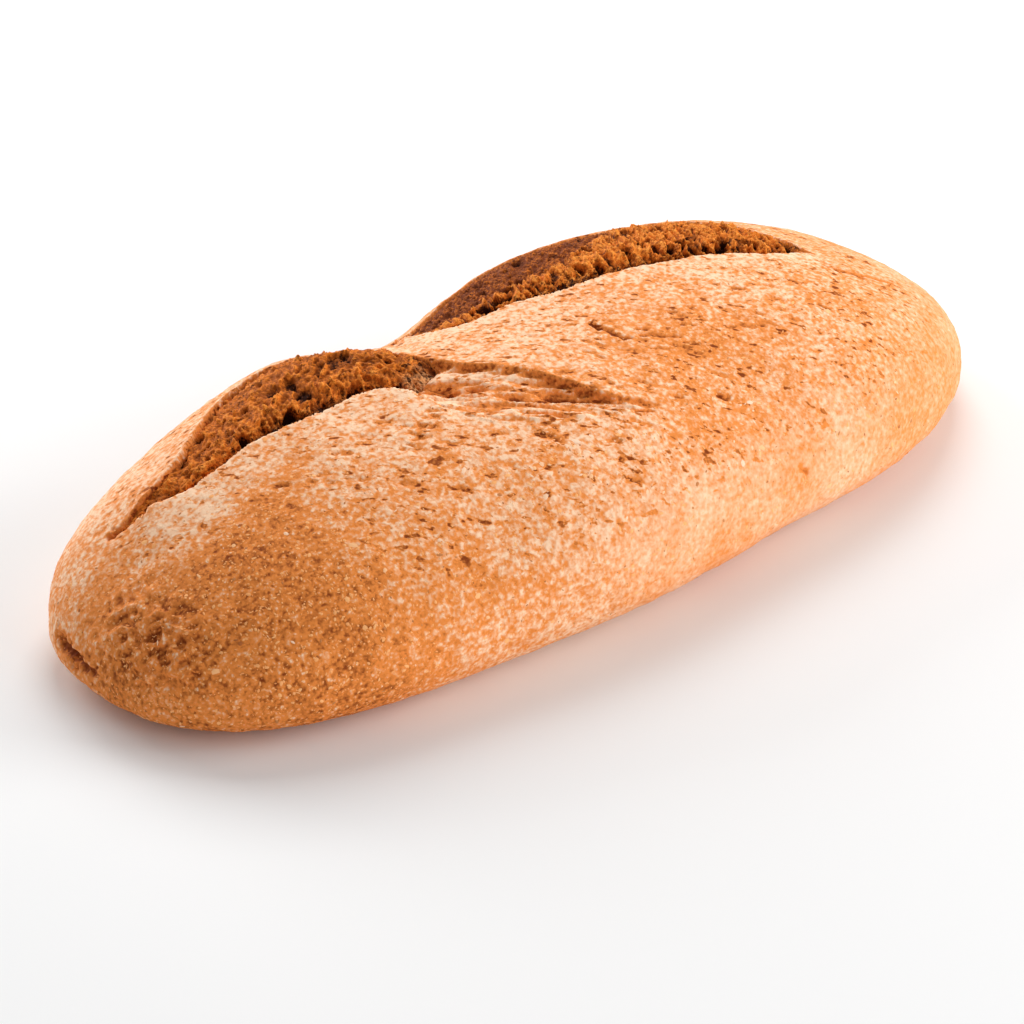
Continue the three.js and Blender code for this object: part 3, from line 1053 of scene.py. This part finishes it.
def crumb_relief(settings, slash, place, height, plan):
    """Pockets, ridges and strands of torn crumb: how far they stand out, and for each corner how much
    painted shade darkens it in pockets, between fibres, in pits and in the groove, how much painted
    highlight lights it on ridges and strands, how toasted and how flush with the crust it is."""
    flat = np.stack([place.along, place.behind, height], 1)
    wander = np.stack([sampled(flat, WANDER_WAVE, draw) for draw in (1.5, 9.2, 17.8)], 1)
    where = flat + wander * WANDER_REACH
    ledge = slash.ledge_at(place.share)
    wall = smooth(place.across, 0.02, 0.1) * place.torn
    wall *= 1 - smooth(place.across, ledge - 0.06, ledge + 0.06)
    wide = settings.pocket * slash.pockets
    pocket, rim, luck = bowls(where, wide * POCKET_FORM, 2.7, 0.55)
    pocket *= blend(0.35, 1.0, wall) * smooth(luck, 0.1, 0.6) * 1.2
    small, small_rim, small_luck = bowls(where, wide * SMALL_POCKET, 31.4, 0.5)
    small *= blend(0.1, 1.6, small_luck) * slash.pockets
    ribbed = slash.ribs * wall
    fibres = sharp_ridges(where, FIBRE, 5.1)
    threads = sharp_ridges(where, THREAD, 9.6)
    out = RIM_HEIGHT * rim * wall - settings.pocket_depth * pocket
    out += SMALL_RIM_HEIGHT * small_rim - SMALL_DEPTH * small
    out += GRAIN_HEIGHT * sampled(where, GRAIN, 12.9, 3) + LUMP_HEIGHT * sampled(where, LUMP, 8.8, 2)
    out += FIBRE_HEIGHT * ribbed * fibres + blend(*THREAD_HEIGHT, wall) * threads
    # Painted shade in the valleys between fibres and in the deeper hollows.
    shade_between_fibres = ribbed * smooth(-fibres, -0.2, 0.8)
    hollow = np.minimum(smooth(-out, *POCKET_SHADE_DEPTH) + 0.35 * shade_between_fibres, 1)
    ridge = smooth(out, *RIDGE_HIGHLIGHT)
    flush = 1 - place.torn
    strands, strand, in_pit = flush_relief(plan)
    out = blend(out, 0.3 * out + strands, flush)
    hollow = np.maximum(blend(hollow, 0.35 * hollow, flush), in_pit * flush)
    hollow = np.maximum(hollow, 0.4 * smooth(flush, 0.15, 0.6))
    # Painted shade in the low groove behind the front lip, where the lip keeps out the light.
    groove = (1 - smooth(height, *GROOVE_SHADE_HEIGHTS)) * place.torn
    toast = smooth(place.across, ledge - 0.05, ledge + 0.1) * place.torn * slash.toast
    toast += smooth(place.across, 0.78, 0.92) * flush
    ridge = blend(ridge, smooth(strand, -0.3, 0.8), flush)
    values = {"hollow": np.maximum(hollow, groove), "ridge": ridge, "toast": toast, "flush": flush}
    return out * smooth(place.depth, 0, 1), values


def crumb_material(settings):
    shader = Shader("torn crumb")
    hollow, ridge, toast, flush = map(shader.attribute, ("hollow", "ridge", "toast", "flush"))
    fine = shader.clouds(0.8 * MM, 4.0, 0.65)
    blotches = shader.clouds(3 * MM, 3.0, 0.6)
    wisps = shader.clouds(1, 3.0, 0.6, shader.along_strands(4 * MM, 1.2 * MM))
    middle = colour_between(settings.golden, settings.toasted, 0.7)
    # Ridges turn golden, the finest crests brightest and the toasted band's tips golden: golden crumb
    # with painted highlight.
    golden = (ridge * 0.8 + (fine - 0.5) * 3.2 + (blotches - 0.5) * 2.0).step(-0.1, 1.0)
    base = shader.mix(middle, settings.golden, golden)
    crest_highlight = (ridge + (fine - 0.5) * 3.2).step(0.75, 1.6)
    base = shader.mix(base, settings.crest, crest_highlight)
    tips = ((fine - 0.5) * 3 + ridge * 0.8).step(0.2, 1.4)
    toasted = shader.mix(settings.toasted, settings.golden, tips)
    base = shader.mix(base, toasted, (toast + (blotches - 0.5) * 0.6).step(0.2, 0.8))
    pale = (ridge * 0.5 + (wisps - 0.5) * 4 + (fine - 0.5) * 1.5).step(-0.4, 0.6)
    flushed = shader.mix(middle, settings.flush, pale)
    base = shader.mix(base, flushed, (flush - toast * 0.6).step(0.3, 0.9))
    # Painted shade in hollows, between fibres, in the groove and in small holes darkens the crumb, mixed
    # with its own darker tones.
    shaded_holes = (0.45 - shader.clouds(1.7 * MM, 2.0, 0.5)).step(0, 0.1)
    dark_and_shade = (hollow * 1.1 + (0.5 - fine) * 1.6 + shaded_holes * 0.45).step(0.1, 0.95)
    base = shader.mix(base, settings.dark, dark_and_shade)
    height = fine * 0.7 + blotches * 0.3 - shaded_holes * 0.6
    shader.feed(base_color=base, roughness=0.7, normal=shader.bump(height, 0.45 * MM, 0.8))
    shader.shine(0.08)
    return shader.material


class BATARD_OT_torn_crumb(bpy.types.Operator):
    """Make the torn crumb that fills the two slashes"""

    bl_idname = "batard.torn_crumb"
    bl_label = "Torn crumb"

    def execute(self, context):
        settings = context.scene.batard_crumb
        crust = Crust(context.scene.batard_crust)
        material = crumb_material(settings)
        for slash in SLASHES:
            bm = crumb_block()
            corners = corners_of(bm)
            base, place, height = crumb_base(crust, slash, corners)
            move_corners(bm, base)
            bmesh.ops.recalc_face_normals(bm, faces=bm.faces)
            outward = corner_normals(bm)
            out, values = crumb_relief(settings, slash, place, height, base[:, :2])
            out *= corners[:, 2]
            move_corners(bm, base + outward * out[:, None] - crust.middle)
            bmesh.ops.recalc_face_normals(bm, faces=bm.faces)
            mesh = mesh_of("torn_crumb_" + slash.name, bm)
            add_piece(mesh.name, mesh, material, **values)
        return {"FINISHED"}


def crumb_block():
    """A flat block, 1 by 1 by 1, with a coarse underside and a finely divided top."""
    bm = bmesh.new()
    bmesh.ops.create_grid(bm, x_segments=GRID_ALONG, y_segments=GRID_ACROSS, size=0.5)
    bmesh.ops.translate(bm, verts=bm.verts, vec=(0.5, 0.5, 0))
    top = bmesh.ops.extrude_face_region(bm, geom=list(bm.faces))
    raised = [g for g in top["geom"] if isinstance(g, bmesh.types.BMVert)]
    bmesh.ops.translate(bm, verts=raised, vec=(0, 0, 1))
    edges = [edge for edge in bm.edges if all(v.co.z > 0.5 for v in edge.verts)]
    bmesh.ops.subdivide_edges(bm, edges=edges, cuts=GRID_CUTS, use_grid_fill=True)
    bmesh.ops.triangulate(bm, faces=[face for face in bm.faces if len(face.verts) > 4])
    return bm


# ---- bran and flour -------------------------------------------------------------------------

FLAKE_SIDES = 6
FLAKE_JITTER = 0.22  # how far a flake's corners stray, as a share of its size
FLAKE_SINK = 0.42  # how deep a flake sits in the crust, as a share of its thickness
FLAKE_SPREAD = 0.35  # how much flakes differ in length
FLAKE_WIDTHS = (0.3, 0.8)  # least and greatest, as shares of the length
FLAKES_FROM = 1.5 * MM  # flakes lie above this height
CLOSED = 0.05  # a corner of the crust that is less open than this is whole crust
WISHES = (0.05, 1.5)  # the least and the most that flakes may wish for a place
# Where flour dried in flakes: place in the plan and reach. Millimetres.
FLOUR_SPOTS = [
    ((64, -36), 9),
    ((-74, -26), 7),
    ((-36, -42), 9),
    ((-28, -46), 6),
    ((20, -52), 8),
    ((-12, 18), 10),
    ((100, 10), 9),
    ((-20, 48), 10),
    ((60, 52), 10),
]


class CrustFaces:
    """The finished crust's triangles, with what its corners know."""

    def __init__(self, mesh):
        self.corners = np.array([v.co for v in mesh.vertices])
        self.faces = np.array([face.vertices for face in mesh.polygons])
        spans = self.corners[self.faces]
        across = np.cross(spans[:, 1] - spans[:, 0], spans[:, 2] - spans[:, 0])
        self.area = np.linalg.norm(across, axis=1) / 2
        self.outward = unit(across)
        self.middles = spans.mean(1)
        whole = self.values(mesh, "open").max(1) < CLOSED
        self.density = whole * (self.middles[:, 2] > FLAKES_FROM)
        self.bake = self.values(mesh, "bake").mean(1)

    def values(self, mesh, name):
        numbers = np.array([value.value for value in mesh.attributes[name].data])
        return numbers[self.faces]

    def scatter(self, draw, count, wish):
        """Random places on whole crust, more of them where wish is higher, and the ways out."""
        reached = np.cumsum(self.area * self.density * wish)
        picked = np.searchsorted(reached, draw.random(count) * reached[-1])
        first, second = draw.random((2, count, 1))
        over = first + second > 1
        first, second = np.where(over, 1 - first, first), np.where(over, 1 - second, second)
        a, b, c = (self.corners[self.faces[picked, k]] for k in range(3))
        return a + first * (b - a) + second * (c - a), self.outward[picked]


def flakes(draw, places, outward, length, thickness):
    """A mesh of flat six-sided lenses that lie on the crust, and a number for each corner that is
    its flake's own."""
    bm = bmesh.new()
    bmesh.ops.create_uvsphere(bm, u_segments=FLAKE_SIDES, v_segments=2, radius=0.5)
    lens = corners_of(bm)
    lens_faces = np.array([[v.index for v in face.verts] for face in bm.faces])
    bm.free()
    count = len(places)
    long = length * np.exp(draw.normal(0, FLAKE_SPREAD, count))
    wide = long * draw.uniform(*FLAKE_WIDTHS, count)
    sizes = np.stack([long, wide, np.full(count, thickness)], 1)
    shape = lens * (1 + draw.uniform(-FLAKE_JITTER, FLAKE_JITTER, (count, len(lens), 3)))
    shape = shape * sizes[:, None]
    shape[..., 2] += thickness * (0.5 - FLAKE_SINK)
    side = unit(np.cross(outward, unit(draw.normal(0, 1, (count, 3)))))
    frames = np.stack([side, np.cross(outward, side), outward], 1)
    corners = places[:, None] + shape @ frames
    faces = lens_faces + len(lens) * np.arange(count)[:, None, None]
    mesh = bpy.data.meshes.new("flakes")
    mesh.from_pydata(corners.reshape(-1, 3).tolist(), [], faces.reshape(-1, 3).tolist())
    mesh.shade_flat()
    return mesh, np.repeat(draw.random(count), len(lens))


def flake_material(name, low, high):
    """Flakes of one kind, each between two colours."""
    shader = Shader(name)
    tone = shader.attribute("tone")
    shader.feed(base_color=shader.mix(low, high, tone), roughness=0.8)
    shader.shine(0.12)
    return shader.material


class BATARD_OT_bran(bpy.types.Operator):
    """Scatter the pale and dark bran and the dried flour on the crust"""

    bl_idname = "batard.bran"
    bl_label = "Bran and flour"

    def execute(self, context):
        settings = context.scene.batard_bran
        crust = CrustFaces(bpy.data.objects["crust"].data)
        shady = colour_between(settings.pale, context.scene.batard_crust.baked, 0.5)
        light = colour_between(settings.pale, settings.dark, 0.5)
        spots = [(centre, (reach, reach), 1.0) for centre, reach in FLOUR_SPOTS]
        on_spots = 0.03 + spotted(crust.middles, spots)
        common, broad = settings.length, settings.flour_length
        kinds = [
            ("pale_bran", settings.pale_count, common, (shady, settings.pale), 0.25 + crust.bake),
            ("dark_bran", settings.dark_count, common, (settings.dark, light), 1.0),
            ("flour_flakes", settings.flour_count, broad, (settings.pale, settings.flour), on_spots),
        ]
        for seed, (name, count, length, colours, wish) in enumerate(kinds):
            draw = np.random.default_rng(seed)
            places, outward = crust.scatter(draw, count, np.clip(wish, *WISHES))
            mesh, tone = flakes(draw, places, outward, length, settings.thickness)
            add_piece(name, mesh, flake_material(name.replace("_", " "), *colours), tone=tone)
        return {"FINISHED"}


# ---- stage ----------------------------------------------------------------------------------

# The camera that was fitted to the photograph's outline of the loaf.
CAMERA_TARGET = (0, 0, 30 * MM)
CAMERA_TURN = math.radians(-44.467)
CAMERA_HEIGHT = math.radians(28.0915)
CAMERA_DISTANCE = 0.88622
CAMERA_LENS = 124.36
SENSOR = 36
IMAGE = 1024
TARGET_PIXEL = (540.82, 407.35)  # where the camera's target shows in the photograph

# The soft lights: turned so far from the camera's side, and so high, both in degrees.
LIGHTS = [("right", 90, 20), ("front", 45, 20), ("behind", 180, 50), ("rim", 225, 20)]
LIGHT_DISTANCE = 1.2
LIGHT_WIDTH = 0.7
FLOOR_REACH = 6  # metres, from its middle to its sides


class BATARD_OT_stage(bpy.types.Operator):
    """Make the floor, the soft lights and the camera"""

    bl_idname = "batard.stage"
    bl_label = "Stage"

    def execute(self, context):
        settings = context.scene.batard_stage
        scene = context.scene
        bm = bmesh.new()
        bmesh.ops.create_grid(bm, x_segments=1, y_segments=1, size=FLOOR_REACH)
        mesh = mesh_of("floor", bm)
        shader = Shader("pale floor")
        shader.feed(base_color=settings.floor, roughness=0.9)
        mesh.materials.append(shader.material)
        floor = bpy.data.objects.new("floor", mesh)
        scene.collection.objects.link(floor)
        world = bpy.data.worlds.new("studio")
        world.use_nodes = True
        background = world.node_tree.nodes["Background"]
        background.inputs["Color"].default_value = (1, 1, 1, 1)
        background.inputs["Strength"].default_value = settings.sky
        scene.world = world
        scene.view_settings.view_transform = "Standard"
        for name, turn, height in LIGHTS:
            place = camera_back(CAMERA_TURN + math.radians(turn), math.radians(height))
            area_light(name, place * LIGHT_DISTANCE, LIGHT_WIDTH, getattr(settings, name))
        scene.camera = make_camera(scene)
        return {"FINISHED"}


def camera_back(turn, height):
    """The direction from the loaf to a camera. Turn 0 looks along +Y."""
    level = math.cos(height)
    return Vector((math.sin(turn) * level, -math.cos(turn) * level, math.sin(height)))


def area_light(name, place, width, power):
    data = bpy.data.lights.new(name, "AREA")
    data.shape = "SQUARE"
    data.size = width
    data.energy = power
    light = bpy.data.objects.new(name, data)
    light.location = place
    light.rotation_euler = (-place).to_track_quat("-Z", "Y").to_euler()
    bpy.context.scene.collection.objects.link(light)


def make_camera(scene):
    """The camera, turned so that its target shows at the pixel where the photograph has it."""
    data = bpy.data.cameras.new("camera")
    data.lens = CAMERA_LENS
    data.sensor_width = SENSOR
    camera = bpy.data.objects.new("camera", data)
    back = camera_back(CAMERA_TURN, CAMERA_HEIGHT)
    camera.location = Vector(CAMERA_TARGET) + back * CAMERA_DISTANCE
    aim = back.to_track_quat("Z", "Y").to_matrix()
    pixel = SENSOR / IMAGE / CAMERA_LENS
    yaw = math.atan((TARGET_PIXEL[0] - IMAGE / 2) * pixel)
    pitch = math.atan((TARGET_PIXEL[1] - IMAGE / 2) * pixel)
    turned = aim @ Matrix.Rotation(yaw, 3, "Y") @ Matrix.Rotation(pitch, 3, "X")
    camera.rotation_euler = turned.to_euler()
    scene.collection.objects.link(camera)
    return camera


# ---- panel and registration -----------------------------------------------------------------


class BATARD_PT_sidebar(bpy.types.Panel):
    """The loaf's pieces and their settings"""

    bl_label = "Wholemeal Batard"
    bl_idname = "BATARD_PT_sidebar"
    bl_space_type = "VIEW_3D"
    bl_region_type = "UI"
    bl_category = "Batard"

    def draw(self, context):
        for settings_name, operator in STEPS:
            settings = getattr(context.scene, settings_name)
            box = self.layout.box()
            for name in settings.__annotations__:
                box.prop(settings, name)
            box.operator(operator)


SETTINGS = {
    "batard_crust": CrustSettings,
    "batard_crumb": CrumbSettings,
    "batard_bran": BranSettings,
    "batard_stage": StageSettings,
}
STEPS = [
    ("batard_crust", BATARD_OT_crust.bl_idname),
    ("batard_crumb", BATARD_OT_torn_crumb.bl_idname),
    ("batard_bran", BATARD_OT_bran.bl_idname),
    ("batard_stage", BATARD_OT_stage.bl_idname),
]
CLASSES = [
    *SETTINGS.values(),
    BATARD_OT_crust,
    BATARD_OT_torn_crumb,
    BATARD_OT_bran,
    BATARD_OT_stage,
    BATARD_PT_sidebar,
]


def register():
    for cls in CLASSES:
        bpy.utils.register_class(cls)
    for name, cls in SETTINGS.items():
        setattr(bpy.types.Scene, name, bpy.props.PointerProperty(type=cls))


def unregister():
    for name in SETTINGS:
        delattr(bpy.types.Scene, name)
    for cls in reversed(CLASSES):
        bpy.utils.unregister_class(cls)


def main():
    register()
    for _, operator in STEPS:
        group, name = operator.split(".")
        getattr(getattr(bpy.ops, group), name)()


if __name__ == "__main__":
    main()
